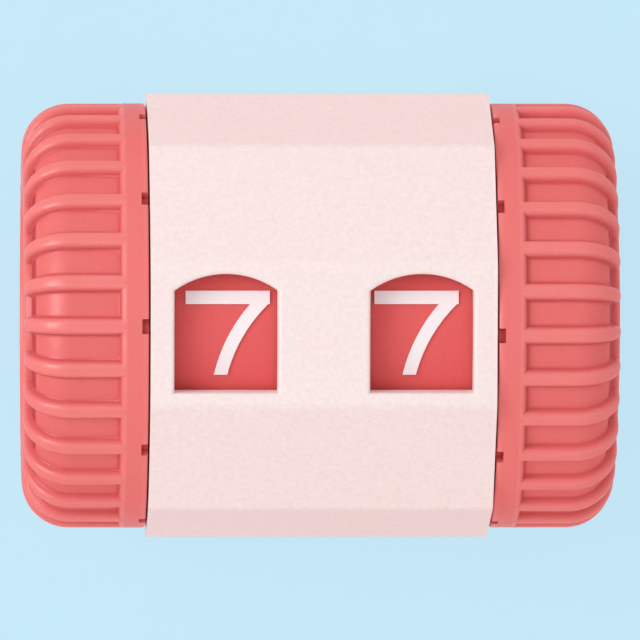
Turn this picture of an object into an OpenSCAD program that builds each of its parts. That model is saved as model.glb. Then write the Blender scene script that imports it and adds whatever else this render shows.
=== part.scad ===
// Knitting row counter: a ten-sided casing with two windows and a ribbed dial at each end.
// The needle bore lies along X, the windows face +Z, and the origin is the middle of the bore.
// Each dial is a knob pressed on a number drum, and both dials turn on one core tube.

/* [Casing] */
// Distance across two opposite flats of the casing
casing_flats = 19.15; // [18.4:0.05:22]
// Length of the casing between its end faces
casing_length = 15.4; // [14:0.1:18]
// Thickness of the casing wall at the middle of a flat
casing_wall = 1.1; // [0.9:0.05:1.5]
// How far the long edges between the flats are rounded back
edge_round = 0.03; // [0.01:0.01:0.2]
// Leg of the chamfer round each end of the casing
casing_chamfer = 0.2; // [0.05:0.05:0.4]

/* [Windows] */
// Width of a window, along the bore
window_width = 4.6; // [3.6:0.1:5.4]
// Height of a window at the crown of its arch, around the bore
window_height = 5.3; // [4.4:0.1:5.8]
// Rise of the arch over its springing
window_rise = 0.75; // [0.2:0.05:1.2]
// Distance from an end of the casing to the middle of its window
window_inset = 3.35; // [2.8:0.05:3.8]
// How far the windows sit above the middle line of their flat
window_shift = 0.1; // [-0.3:0.1:0.3]

/* [Knobs] */
// Length of the whole counter
overall_length = 26.6; // [25:0.1:32]
// How far a knob's ribs lie below the flats of the casing
knob_set_back = 0.02; // [0.01:0.005:0.3]
// Gap between the casing and each knob
knob_gap = 0.075; // [0.05:0.025:0.4]
// Radius of the rounded corner at the end of a knob
knob_corner = 2.1; // [1.5:0.1:3]
// Number of ribs round a knob
rib_count = 30; // [20:10:40]
// Width of a rib at its crest
rib_width = 0.68; // [0.5:0.02:0.9]
// Depth of the grooves between the ribs
groove_depth = 0.4; // [0.2:0.05:0.5]
// Width of the smooth band beside the casing
band_width = 1.2; // [0.8:0.1:2]
// Radius of the index notches in the edge of the band
index_notch_radius = 0.3; // [0.15:0.05:0.4]
// How far the index notches reach in from the edge of the band
index_notch_depth = 0.45; // [0.3:0.05:0.6]
// Angle at which the left knob was pressed on its drum
left_knob_twist = -2.5; // [-6:0.5:6]
// Angle at which the right knob was pressed on its drum
right_knob_twist = 0; // [-6:0.5:6]
// Thickness of the web between a knob's socket and its end recess
knob_web = 1.05; // [0.6:0.05:1.2]

/* [Number drums] */
// Radial gap between a drum and the casing
drum_clearance = 0.3; // [0.25:0.05:0.5]
// Wall thickness of a drum
drum_wall = 1.2; // [1:0.05:1.4]
// Step down from a drum to the spigot inside its knob
spigot_step = 0.55; // [0.3:0.05:0.7]
// Room left beyond the end of the spigot
spigot_relief = 0.2; // [0.1:0.05:0.5]
// Width of the keys that lock a knob to its drum
key_width = 1.2; // [0.8:0.1:1.6]
// Height of the keys that lock a knob to its drum
key_height = 0.5; // [0.3:0.05:0.6]

/* [Numerals] */
// Height of a numeral
numeral_height = 3.75; // [3:0.05:4.2]
// Width of the widest numeral
numeral_width = 3.75; // [2.8:0.05:4]
// Width of a numeral's stroke
numeral_stroke = 0.58; // [0.4:0.02:0.7]
// How far a numeral stands up from its drum
numeral_relief = 0.1; // [0.05:0.01:0.15]
// Numeral behind the left window
left_shown = 7; // [0:1:9]
// Numeral behind the right window
right_shown = 7; // [0:1:9]
// Offset of the left numerals from the middle of their window
left_numeral_offset = 0.1; // [-0.4:0.05:0.4]
// Offset of the right numerals from the middle of their window
right_numeral_offset = -0.2; // [-0.4:0.05:0.4]

/* [Core tube] */
// Diameter of the bore for the needle
needle_bore = 7; // [5:0.1:7.4]
// Wall thickness of the core tube
tube_wall = 0.8; // [0.6:0.05:1]
// Radial gap where a dial turns on the tube
running_clearance = 0.05; // [0.02:0.01:0.08]
// Gap between two pressed-together round faces
press_gap = 0.02; // [0.01:0.01:0.03]
// Wall thickness of the dial hubs that turn on the tube
hub_wall = 1.2; // [0.9:0.05:1.3]

/* [Centre wall and click springs] */
// Thickness of the wall between the two drums
wall_thickness = 1; // [0.8:0.05:1.4]
// Distance from the centre wall to each drum
dial_gap = 0.7; // [0.65:0.05:1]
// Wall thickness of the hub that grips the tube
wall_hub_wall = 0.9; // [0.6:0.05:1]
// Gap between that hub and each dial
hub_gap = 0.1; // [0.05:0.05:0.2]
// Width of the lugs that stop the centre wall turning
lug_width = 1.2; // [0.8:0.1:2]
// Height of those lugs
lug_height = 0.4; // [0.2:0.05:0.5]
// Thickness of the click spring's strip
spring_thickness = 0.2; // [0.15:0.01:0.25]
// Gap between the click spring's ring and the casing
spring_margin = 0.8; // [0.6:0.05:1.2]
// Width of a click finger
finger_width = 1.2; // [0.8:0.1:1.3]
// Length of a click finger from its root to its nose
finger_reach = 2.4; // [1.8:0.1:3]
// Length of a click finger's free tail beyond its nose
finger_tail = 0.9; // [0.6:0.1:1.2]
// Radius of the nose that drops into a click notch
nose_radius = 0.3; // [0.2:0.05:0.35]
// How far the nose drops into a click notch
nose_drop = 0.15; // [0.05:0.05:0.2]
// Gap between the nose and its notch
nose_clearance = 0.2; // [0.1:0.05:0.25]
// Thickness of the index disc with the click notches
index_thickness = 1.2; // [1:0.1:1.5]
// Length of the index disc's hub on the tube
index_hub_length = 2.2; // [1.6:0.1:3]
// Diameter of the rivets that hold the springs
rivet_diameter = 0.8; // [0.6:0.05:1]
// Diameter of the rivet heads
rivet_head_diameter = 1.4; // [1.2:0.1:1.6]
// Thickness of the rivet heads
rivet_head_height = 0.25; // [0.15:0.05:0.3]

/* [End collars] */
// Width of a collar's ring, outwards from the tube
collar_width = 1.4; // [1:0.1:1.8]
// Thickness of a collar
collar_thickness = 0.5; // [0.4:0.05:0.8]
// Gap round a collar in its recess
collar_clearance = 0.2; // [0.1:0.05:0.4]
// How far a collar is set back from the end of its knob
collar_set_back = 0.2; // [0.05:0.05:0.3]
// Thickness of the washer under a collar
washer_thickness = 0.3; // [0.2:0.05:0.5]
// End play of a dial on the tube
end_play = 0.05; // [0.03:0.01:0.1]
// Depth of the groove in the tube that a collar snaps into
snap_depth = 0.25; // [0.1:0.05:0.3]
// Width of that groove
snap_width = 0.3; // [0.2:0.05:0.35]

/* [Hidden] */
$fn = 96;

digit_count = 10;
digit_step = 360 / digit_count;
key_count = 3;
finger_count = 2;
rivet_count = 2;
overshoot = 1;

coral = "#ee7274";
red = "#df5a5c";
pale_pink = "#fbe4e2";
ivory = "#f3ece1";
white = "#f7f1f2";
steel = "#b9bcc0";
brass = "#c9a55a";

casing_apothem = casing_flats / 2;
casing_corner_radius = casing_apothem / cos(digit_step / 2);
casing_end = casing_length / 2;
casing_bore_radius = casing_apothem - casing_wall;
window_middle = casing_end - window_inset;

tube_bore_radius = needle_bore / 2;
tube_radius = tube_bore_radius + tube_wall;
dial_bore_radius = tube_radius + running_clearance;
hub_radius = dial_bore_radius + hub_wall;

knob_radius = casing_apothem - knob_set_back;
knob_start = casing_end + knob_gap;
knob_end = overall_length / 2;
knob_length = knob_end - knob_start;
groove_angle = 360 / rib_count - 2 * asin(rib_width / 2 / knob_radius);
boss_radius = knob_radius - knob_corner - groove_depth;

collar_radius = tube_radius + collar_width;
recess_radius = collar_radius + collar_clearance;
collar_end = knob_end - collar_set_back;
collar_start = collar_end - collar_thickness;
washer_start = collar_start - washer_thickness;
recess_floor = washer_start - end_play;
snap_middle = (collar_start + collar_end) / 2;
snap_radius = tube_radius - snap_depth;

drum_radius = casing_bore_radius - drum_clearance;
drum_bore_radius = drum_radius - drum_wall;
drum_start = wall_thickness / 2 + dial_gap;
spigot_radius = drum_radius - spigot_step;
socket_radius = spigot_radius + press_gap;
socket_end = recess_floor - knob_web;
spigot_end = socket_end - spigot_relief;
key_start = knob_start + spigot_relief;
index_radius = drum_bore_radius - press_gap;

wall_radius = casing_bore_radius - press_gap;
wall_hub_radius = tube_radius + press_gap + wall_hub_wall;
wall_hub_end = drum_start - hub_gap;
spring_radius = casing_bore_radius - spring_margin;
spring_bore_radius = wall_hub_radius + press_gap;
spring_start = wall_thickness / 2;
spring_face = spring_start + spring_thickness;
finger_middle = (hub_radius + index_radius) / 2;
nose_centre = drum_start + nose_drop - nose_radius;
click_notch_radius = nose_radius + nose_clearance;
rivet_circle_radius = (spring_bore_radius + spring_radius) / 2;

// A round bar along X, from x = start to x = end
module rod(start, end, radius) {
    translate([start, 0, 0]) rotate([0, 90, 0]) cylinder(h = end - start, r = radius);
}

// A ring along X, from x = start to x = end
module ring(start, end, inside, outside) {
    difference() {
        rod(start, end, outside);
        rod(start - overshoot, end + overshoot, inside);
    }
}

// A bar that stands on the X axis and points along +Z, centred on x from start to end
module block(start, end, width, low, high) {
    translate([start, -width / 2, low]) cube([end - start, width, high - low]);
}

// The children, turned about X to each of count places
module around(count) {
    for (i = [0 : count - 1]) rotate([i * 360 / count, 0, 0]) children();
}

// The children as drawn for the right-hand end, mirrored for the left-hand end
module at_side(side) {
    if (side > 0) children();
    else mirror([1, 0, 0]) children();
}

// The outside of the casing: a ten-sided bar with rounded long edges and chamfered ends
module casing_outside() {
    trim_radius = casing_corner_radius - edge_round;
    intersection() {
        translate([-casing_end, 0, 0]) rotate([0, 90, 0]) rotate(digit_step / 2)
            cylinder(h = casing_length, r = casing_corner_radius, $fn = digit_count);
        rotate([0, 90, 0]) rotate_extrude() polygon([
            [0, -casing_end], [trim_radius - casing_chamfer, -casing_end],
            [trim_radius, casing_chamfer - casing_end], [trim_radius, casing_end - casing_chamfer],
            [trim_radius - casing_chamfer, casing_end], [0, casing_end]
        ]);
    }
}

// Outline of one window, with its arch towards +Y
module window_outline() {
    arch_radius = (window_width * window_width / 4 + window_rise * window_rise) / 2 / window_rise;
    bottom = window_shift - window_height / 2;
    crown = window_shift + window_height / 2;
    intersection() {
        translate([-window_width / 2, bottom]) square([window_width, window_height]);
        translate([0, crown - arch_radius]) circle(r = arch_radius);
    }
}

module casing_sleeve() {
    slot_width = lug_width + 2 * press_gap;
    slot_radius = casing_bore_radius + lug_height + press_gap;
    color(pale_pink) difference() {
        casing_outside();
        rod(-casing_end - overshoot, casing_end + overshoot, casing_bore_radius);
        for (side = [-1, 1]) translate([side * window_middle, 0, drum_radius])
            linear_extrude(height = casing_corner_radius) window_outline();
        for (side = [-1, 1]) rotate([side * 90, 0, 0])
            block(-wall_thickness / 2, casing_end + overshoot, slot_width, drum_radius, slot_radius);
    }
}

module centre_wall() {
    color(ivory) difference() {
        union() {
            rod(-wall_thickness / 2, wall_thickness / 2, wall_radius);
            rod(-wall_hub_end, wall_hub_end, wall_hub_radius);
            for (side = [-1, 1]) rotate([side * 90, 0, 0])
                block(-wall_thickness / 2, wall_thickness / 2, lug_width, wall_hub_radius,
                      wall_radius + lug_height);
        }
        rod(-wall_hub_end - overshoot, wall_hub_end + overshoot, tube_radius + press_gap);
        around(rivet_count) translate([0, 0, rivet_circle_radius])
            rod(-wall_thickness, wall_thickness, rivet_diameter / 2 + press_gap);
    }
}

module core_tube() {
    color(ivory) difference() {
        ring(-collar_end, collar_end, tube_bore_radius, tube_radius);
        for (side = [-1, 1]) translate([side * snap_middle, 0, 0])
            ring(-snap_width / 2, snap_width / 2, snap_radius, tube_radius + overshoot);
    }
}

module click_spring_rivets() {
    color(brass) around(rivet_count) translate([0, 0, rivet_circle_radius]) {
        rod(-spring_face, spring_face, rivet_diameter / 2);
        for (side = [-1, 1]) at_side(side)
            rod(spring_face, spring_face + rivet_head_height, rivet_head_diameter / 2);
    }
}

// A straight strip with square ends, from point p to point q
module strip(p, q, width) {
    run = q - p;
    translate(p) rotate(atan2(run.y, run.x)) translate([0, -width / 2]) square([norm(run), width]);
}

// The edge-on outline of one click finger: a ramp up from the ring, the nose and a free tail.
// x runs along the finger and y is the distance from the middle of the bore.
module finger_outline() {
    root = [-finger_reach, spring_start + spring_thickness / 2];
    crest = [0, nose_centre];
    tail = [finger_tail, spring_face + spring_thickness];
    strip(root, crest, spring_thickness);
    strip(crest, tail, spring_thickness);
    translate(crest) circle(r = nose_radius);
}

module click_spring(side) {
    color(steel) at_side(side) difference() {
        union() {
            ring(spring_start, spring_face, spring_bore_radius, spring_radius);
            around(finger_count) rotate([90, 0, 0])
                translate([0, 0, finger_middle - finger_width / 2]) intersection() {
                    rotate([0, 0, 90]) mirror([0, 1, 0]) linear_extrude(height = finger_width)
                        finger_outline();
                    block(spring_start, drum_start + click_notch_radius, casing_flats, 0, finger_width);
                }
        }
        around(rivet_count) translate([0, 0, rivet_circle_radius])
            rod(0, drum_start, rivet_diameter / 2 + press_gap);
    }
}

module washer(side) {
    color(ivory) at_side(side)
        ring(washer_start, collar_start, tube_radius + press_gap, collar_radius);
}

module end_collar(side) {
    bead = (snap_width - 2 * press_gap) / 2;
    color(pale_pink) at_side(side) {
        ring(collar_start, collar_end, tube_radius + press_gap, collar_radius);
        ring(snap_middle - bead, snap_middle + bead, snap_radius + press_gap, collar_radius);
    }
}

// Half section of a knob's solid of revolution, with x as radius and y from the band to the end
module knob_section(radius, length, corner) {
    square([radius, length - corner]);
    square([radius - corner, length]);
    translate([radius - corner, length - corner]) circle(r = corner);
}

// The grooves between the ribs: wedges that stand outside a second, smaller knob
module knob_grooves() {
    reach = knob_radius + overshoot;
    half_width = reach * tan(groove_angle / 2);
    difference() {
        for (i = [0 : rib_count - 1]) rotate((i + 0.5) * 360 / rib_count)
            translate([0, 0, band_width]) linear_extrude(height = knob_length)
                polygon([[0, 0], [reach, -half_width], [reach, half_width]]);
        rotate_extrude() intersection() {
            knob_section(knob_radius - groove_depth, knob_length - groove_depth, knob_corner - groove_depth);
            square([knob_radius, knob_length]);
        }
        cylinder(h = 2 * knob_length, r = boss_radius);
    }
}

module knob(side) {
    twist = side > 0 ? right_knob_twist : left_knob_twist;
    color(coral) rotate([twist, 0, 0]) at_side(side) {
        difference() {
            translate([knob_start, 0, 0]) rotate([0, 90, 0]) difference() {
                rotate_extrude() intersection() {
                    knob_section(knob_radius, knob_length, knob_corner);
                    square([knob_radius, knob_length]);
                }
                knob_grooves();
            }
            ring(knob_start - overshoot, socket_end, hub_radius, socket_radius);
            rod(knob_start - overshoot, knob_end + overshoot, dial_bore_radius);
            rod(recess_floor, knob_end + overshoot, recess_radius);
            around(digit_count) translate([knob_start, 0, knob_radius - index_notch_depth])
                cylinder(h = knob_radius, r = index_notch_radius);
        }
        around(key_count) intersection() {
            block(key_start, socket_end, key_width, socket_radius - key_height, knob_radius);
            rod(knob_start, socket_end, socket_radius + press_gap);
        }
    }
}

module number_drum(side) {
    twist = side > 0 ? right_knob_twist : left_knob_twist;
    color(red) at_side(side) difference() {
        union() {
            rod(drum_start, knob_start, drum_radius);
            rod(knob_start, spigot_end, spigot_radius);
        }
        rod(drum_start - overshoot, spigot_end + overshoot, drum_bore_radius);
        rotate([twist, 0, 0]) around(key_count)
            block(key_start - press_gap, spigot_end + overshoot, key_width + 2 * press_gap, hub_radius,
                  knob_radius);
    }
}

module index_disc(side) {
    color(ivory) at_side(side) difference() {
        union() {
            rod(drum_start, drum_start + index_thickness, index_radius);
            rod(drum_start, drum_start + index_hub_length, hub_radius);
        }
        rod(drum_start - overshoot, drum_start + index_hub_length + overshoot, dial_bore_radius);
        around(digit_count) rotate([90, 0, 0]) translate([nose_centre, 0, finger_middle - finger_width])
            cylinder(h = knob_radius, r = click_notch_radius);
    }
}

// A straight stroke of a numeral from p to q, with square ends
module bar(p, q) {
    strip(p, q, numeral_stroke);
}

// A slice of the plane about the origin, from angle from to angle to
module slice(radius, from, to) {
    facets = ceil((to - from) / 45);
    polygon([[0, 0], for (i = [0 : facets]) let (a = from + (to - from) * i / facets)
        2 * radius * [cos(a), sin(a)]]);
}

// A stroke along a circle, anticlockwise from angle from to angle to, with square ends.
// At the angles in joints a round spot ties it to the stroke that goes on from there.
module bow(centre, radius, from, to, joints) {
    translate(centre) {
        intersection() {
            loop(radius);
            slice(radius + numeral_stroke, from, to);
        }
        for (a = joints) translate(radius * [cos(a), sin(a)]) circle(d = joint_width);
    }
}

// A closed round stroke about the origin
module loop(radius) {
    difference() {
        circle(r = radius + half_stroke);
        circle(r = radius - half_stroke);
    }
}

// The part of a stroke between the line that the numerals stand on and the line of their tops
module between_lines() {
    intersection() {
        children();
        square([2 * numeral_width, numeral_height], center = true);
    }
}

// Half the width of a stroke, and half the height and width of the line that a stroke follows
half_stroke = numeral_stroke / 2;
half_h = numeral_height / 2 - half_stroke;
half_w = numeral_width / 2 - half_stroke;
// Width of the spot at a joint, a little under the stroke so that the outlines cross
joint_width = 0.96 * numeral_stroke;

module numeral_0() {
    r = 0.8 * half_w;
    rise = half_h - r;
    bow([0, rise], r, 0, 180, [0, 180]);
    bow([0, -rise], r, 180, 360, [180, 360]);
    for (x = [-r, r]) bar([x, -rise], [x, rise]);
}

module numeral_1() {
    x = 0.15 * half_w;
    bar([x, -half_h - half_stroke], [x, half_h + half_stroke]);
    bar([-0.5 * half_w, 0.55 * half_h], [x, half_h]);
}

module numeral_2() {
    r = 0.58 * half_h;
    centre = [0, half_h - r];
    turn = -40;
    heel = [-0.75 * half_w, -half_h];
    bow(centre, r, turn, 180, [turn]);
    bar(centre + r * [cos(turn), sin(turn)], heel);
    bar(heel - [half_stroke, 0], [0.8 * half_w + half_stroke, -half_h]);
}

module numeral_3() {
    r = half_h / 2;
    x = 0.2 * half_w;
    for (y = [-r, r]) bow([x, y], r, -90, 90, [-90, 90]);
    for (y = [-half_h, half_h]) bar([-0.65 * half_w - half_stroke, y], [x, y]);
    bar([-0.2 * half_w - half_stroke, 0], [x, 0]);
}

module numeral_4() {
    foot = -0.35 * half_h;
    x = 0.45 * half_w;
    heel = [-0.9 * half_w, foot];
    tip = [0.15 * half_w, half_h];
    between_lines() bar(heel, tip + (tip - heel) * numeral_stroke / norm(tip - heel));
    bar(heel - [half_stroke, 0], [0.95 * half_w + half_stroke, foot]);
    bar([x, 0.3 * half_h], [x, -half_h - half_stroke]);
}

module numeral_5() {
    shelf = 0.2 * half_h;
    r = (half_h + shelf) / 2;
    x = 0.15 * half_w;
    left = -0.65 * half_w;
    bar([left - half_stroke, half_h], [0.75 * half_w + half_stroke, half_h]);
    bar([left, half_h], [left, shelf - half_stroke]);
    bar([left, shelf], [x, shelf]);
    bow([x, shelf - r], r, -90, 90, [-90, 90]);
    bar([left - half_stroke, -half_h], [x, -half_h]);
}

module numeral_6() {
    r = 0.62 * half_h;
    sweep = 1.42 * half_h;
    tip = 112;
    translate([0, r - half_h]) {
        loop(r);
        bow([sweep - r, 0], sweep, tip, 180, [180]);
    }
}

module numeral_7() {
    top = [half_w + 0.35 * half_stroke, half_h];
    foot = [-0.15 * half_w, -half_h];
    r = 1.8 * numeral_height;
    chord = top - foot;
    side = [chord.y, -chord.x] / norm(chord);
    centre = (top + foot) / 2 + side * sqrt(r * r - chord * chord / 4);
    from = atan2(top.y - centre.y, top.x - centre.x);
    to = atan2(foot.y - centre.y, foot.x - centre.x);
    over = asin(numeral_stroke / r);
    bar([-half_w - half_stroke, half_h], [half_w + half_stroke, half_h]);
    between_lines() bow(centre, r, from, to + over, []);
}

module numeral_8() {
    upper = 0.46 * half_h;
    lower = half_h - upper;
    translate([0, half_h - upper]) loop(upper);
    translate([0, lower - half_h]) loop(lower);
}

module numeral_9() {
    rotate(180) numeral_6();
}

module numeral(digit) {
    if (digit == 0) numeral_0();
    if (digit == 1) numeral_1();
    if (digit == 2) numeral_2();
    if (digit == 3) numeral_3();
    if (digit == 4) numeral_4();
    if (digit == 5) numeral_5();
    if (digit == 6) numeral_6();
    if (digit == 7) numeral_7();
    if (digit == 8) numeral_8();
    if (digit == 9) numeral_9();
}

// The ten numerals of one drum, each a separate raised patch on the drum's round face
module numerals(side) {
    shown = side > 0 ? right_shown : left_shown;
    offset_x = side > 0 ? right_numeral_offset : left_numeral_offset;
    foot = drum_radius + press_gap;
    color(white) for (digit = [0 : digit_count - 1])
        rotate([(digit - shown) * digit_step, 0, 0])
            translate([side * window_middle + offset_x, 0, 0]) intersection() {
                linear_extrude(height = 2 * drum_radius) numeral(digit);
                ring(-numeral_width, numeral_width, foot, foot + numeral_relief);
            }
}

casing_sleeve();
centre_wall();
core_tube();
click_spring_rivets();
click_spring(-1);  // left_click_spring
click_spring(1);  // right_click_spring
washer(-1);  // left_washer
washer(1);  // right_washer
end_collar(-1);  // left_end_collar
end_collar(1);  // right_end_collar
knob(-1);  // left_knob
knob(1);  // right_knob
number_drum(-1);  // left_number_drum
number_drum(1);  // right_number_drum
numerals(-1);  // left_numerals
numerals(1);  // right_numerals
index_disc(-1);  // left_index_disc
index_disc(1);  // right_index_disc
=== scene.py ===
"""Looks of the knitting row counter: pale ten-sided casing, coral ribbed dials and number drums."""

import logging
import math
from dataclasses import dataclass, field
from enum import Enum
from typing import Iterable, Sequence

import bmesh
import bpy
from mathutils import Color, Matrix, Vector

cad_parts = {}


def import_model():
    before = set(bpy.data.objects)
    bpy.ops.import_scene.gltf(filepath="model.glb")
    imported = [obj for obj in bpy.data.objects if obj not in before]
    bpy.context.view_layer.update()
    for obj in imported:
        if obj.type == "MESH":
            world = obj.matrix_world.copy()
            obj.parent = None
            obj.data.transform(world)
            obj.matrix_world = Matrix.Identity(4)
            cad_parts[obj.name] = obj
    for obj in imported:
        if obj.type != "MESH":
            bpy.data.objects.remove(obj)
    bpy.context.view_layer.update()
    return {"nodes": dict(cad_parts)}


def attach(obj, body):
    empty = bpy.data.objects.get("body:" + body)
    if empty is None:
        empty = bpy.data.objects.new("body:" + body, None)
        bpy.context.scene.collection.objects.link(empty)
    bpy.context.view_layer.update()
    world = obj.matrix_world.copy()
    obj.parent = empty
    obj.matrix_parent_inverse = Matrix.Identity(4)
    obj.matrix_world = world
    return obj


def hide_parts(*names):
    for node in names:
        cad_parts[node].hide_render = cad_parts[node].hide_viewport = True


LOG = logging.getLogger("row_counter")

MM = 0.001
CIRCLE = 360
QUARTER_TURN = math.pi / 2
DISPLAY_WHITE = 255
# Metres within which vertices merge, places count as one, and a point counts as on a spun ring.
MERGE = 1e-7
NEAR = 1e-6
RING_SLACK = 0.002 * MM
# Cosine past which a face looks a given way, and change of a normal that tells a corner from a flat.
FACING = 0.999
CORNER = 0.5
# Places of the factor and the two colours among a Mix node's inputs, and of the mixed colour.
MIX_INPUTS = (0, 6, 7)
MIX_RESULT = 2
# Values that most of a noise texture lies between.
NOISE_SPAN = (0.3, 0.7)

Colour = tuple[float, float, float]
Span = tuple[float, float]
Inputs = dict[str | int, object]


class Side(Enum):
    """Which end of the counter a piece belongs to, as the numerals are read."""

    LEFT = -1
    RIGHT = 1

    @property
    def word(self) -> str:
        """The side's name as the nodes and bodies spell it."""
        return self.name.lower()


class Skin(Enum):
    """Which of the casing's two skins a face lies on."""

    OUTSIDE = 1
    BORE = 2


class Zone(Enum):
    """Stretch of a knob's outline that a vertex lies on."""

    PLAIN = 0
    NOTCH = 1
    GROOVE = 2


def linear(red: int, green: int, blue: int) -> Colour:
    """Turn a display colour into the linear colour that shaders take.

    Args:
        red: Red from 0 to 255.
        green: Green from 0 to 255.
        blue: Blue from 0 to 255.

    Returns:
        The same colour in linear light.
    """
    shown = Color((red, green, blue)) / DISPLAY_WHITE
    return tuple(shown.from_srgb_to_scene_linear())


class NodeSheet:
    """A node tree with short ways to add and join nodes."""

    def __init__(self, tree: bpy.types.NodeTree) -> None:
        """Keep the tree and clear it."""
        self.tree = tree
        self.tree.nodes.clear()

    def add(self, kind: str, inputs: Inputs | None = None, **settings: object) -> bpy.types.Node:
        """Add a node.

        Args:
            kind: The node's type name.
            inputs: Values, or sockets to link from, by input name or index.
            settings: Properties of the node itself.

        Returns:
            The new node.
        """
        node = self.tree.nodes.new(kind)
        for name, value in settings.items():
            setattr(node, name, value)
        for key, value in (inputs or {}).items():
            self.feed(node, key, value)
        return node

    def feed(self, node: bpy.types.Node, key: str | int, value: object) -> None:
        """Set one input of a node, or link it.

        Args:
            node: The node.
            key: The input's name or index.
            value: A value, a colour of three channels, or the socket to link from.
        """
        socket = node.inputs[key]
        if isinstance(value, bpy.types.NodeSocket):
            self.tree.links.new(value, socket)
        else:
            socket.default_value = (*value, 1.0) if socket.type == "RGBA" else value

    def maths(self, operation: str, *values: object, clamp: bool = False) -> bpy.types.NodeSocket:
        """Add a Math node and return its result socket."""
        inputs = dict(enumerate(values))
        return self.add("ShaderNodeMath", inputs, operation=operation, use_clamp=clamp).outputs[0]

    def mix(self, share: object, first: object, second: object) -> bpy.types.NodeSocket:
        """Mix two colours and return the result socket."""
        inputs = dict(zip(MIX_INPUTS, (share, first, second)))
        return self.add("ShaderNodeMix", inputs, data_type="RGBA").outputs[MIX_RESULT]

    def mix_shaders(self, share: object, first: object, second: object) -> bpy.types.NodeSocket:
        """Mix two shaders and return the result socket."""
        inputs = dict(enumerate((share, first, second)))
        return self.add("ShaderNodeMixShader", inputs).outputs[0]

    def span(self, value: object, old: Span, new: Span = (0.0, 1.0)) -> bpy.types.NodeSocket:
        """Map a value from one span to another, held at the ends, and return the result socket."""
        inputs = dict(enumerate((value, *old, *new)))
        return self.add("ShaderNodeMapRange", inputs, clamp=True).outputs[0]

    def noise(
        self, vector: object, scale: object, detail: float = 2.0, roughness: float = 0.5
    ) -> bpy.types.NodeSocket:
        """Add a noise texture and return its value socket."""
        inputs = {"Vector": vector, "Scale": scale, "Detail": detail, "Roughness": roughness}
        return self.add("ShaderNodeTexNoise", inputs).outputs[0]

    def effect(self, effect: "Effect", inputs: Inputs) -> bpy.types.bpy_prop_collection:
        """Place a shared effect with its own values and return its outputs."""
        return self.add("ShaderNodeGroup", inputs, node_tree=effect.tree()).outputs


class Effect(Enum):
    """A surface effect that several finishes share."""

    GRAIN = "mould_grain"
    FLOW = "flow_marks"
    RUB = "edge_rub"
    SCUFF = "fine_scuffs"

    def tree(self) -> bpy.types.NodeTree:
        """The effect's node group, made the first time that it is asked for.

        Returns:
            The node group.
        """
        found = bpy.data.node_groups.get(self.value)
        if found is None:
            found = bpy.data.node_groups.new(self.value, "ShaderNodeTree")
            draw = {
                Effect.GRAIN: _draw_grain,
                Effect.FLOW: _draw_flow,
                Effect.RUB: _draw_rub_highlight,
                Effect.SCUFF: _draw_scuff,
            }[self]
            draw(found)
        return found


def _sockets(
    tree: bpy.types.NodeTree, inputs: dict[str, str], outputs: dict[str, str]
) -> tuple[NodeSheet, bpy.types.bpy_prop_collection, bpy.types.Node]:
    """Give a node group its sockets.

    Args:
        tree: The node group.
        inputs: Socket type by input name.
        outputs: Socket type by output name.

    Returns:
        The sheet to draw on, the sockets that bring the inputs, and the group's output node.
    """
    for way, sockets in (("INPUT", inputs), ("OUTPUT", outputs)):
        for name, kind in sockets.items():
            tree.interface.new_socket(name=name, in_out=way, socket_type=f"NodeSocket{kind}")
    sheet = NodeSheet(tree)
    return sheet, sheet.add("NodeGroupInput").outputs, sheet.add("NodeGroupOutput")


def _draw_grain(tree: bpy.types.NodeTree) -> None:
    """Draw the eroded texture that a mould leaves on plastic: a height, and a tone for gloss and for
    painted shade in the pits.

    Args:
        tree: The effect's node group.
    """
    pit_depth, roughness = 0.55, 0.62
    sheet, given, result = _sockets(
        tree, {"Vector": "Vector", "Per Metre": "Float"}, {"Height": "Float", "Tone": "Float"}
    )
    vector, scale = given["Vector"], given["Per Metre"]
    pits = sheet.add("ShaderNodeTexVoronoi", {"Vector": vector, "Scale": scale}, feature="F1")
    fine = sheet.noise(vector, scale, roughness=roughness)
    deep = sheet.maths("MULTIPLY", pits.outputs["Distance"], pit_depth)
    sheet.feed(result, "Height", sheet.maths("ADD", deep, fine))
    sheet.feed(result, "Tone", sheet.span(fine, NOISE_SPAN))


def _draw_flow(tree: bpy.types.NodeTree) -> None:
    """Draw the slow drift of colour where the plastic ran along the mould.

    Args:
        tree: The effect's node group.
    """
    stretch = (0.45, 1.0, 1.0)
    sheet, given, result = _sockets(
        tree,
        {"Vector": "Vector", "Colour": "Color", "Drift": "Color", "Per Metre": "Float"},
        {"Colour": "Color"},
    )
    stretched = sheet.add("ShaderNodeMapping", {"Vector": given["Vector"], "Scale": stretch})
    mask = sheet.span(sheet.noise(stretched.outputs[0], given["Per Metre"]), NOISE_SPAN)
    sheet.feed(result, "Colour", sheet.mix(mask, given["Colour"], given["Drift"]))


def _draw_rub_highlight(tree: bpy.types.NodeTree) -> None:
    """Draw a broken mask along edges, for wear that fingers have polished and for a painted highlight.

    Args:
        tree: The effect's node group.
    """
    patches, strength = (0.34, 0.62), (0.8, 1.0)
    sheet, given, result = _sockets(
        tree, {"Vector": "Vector", "Edge": "Float", "Per Metre": "Float"}, {"Mask": "Float"}
    )
    broken = sheet.span(sheet.noise(given["Vector"], given["Per Metre"]), patches, strength)
    sheet.feed(result, "Mask", sheet.maths("MULTIPLY", given["Edge"], broken, clamp=True))


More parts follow.
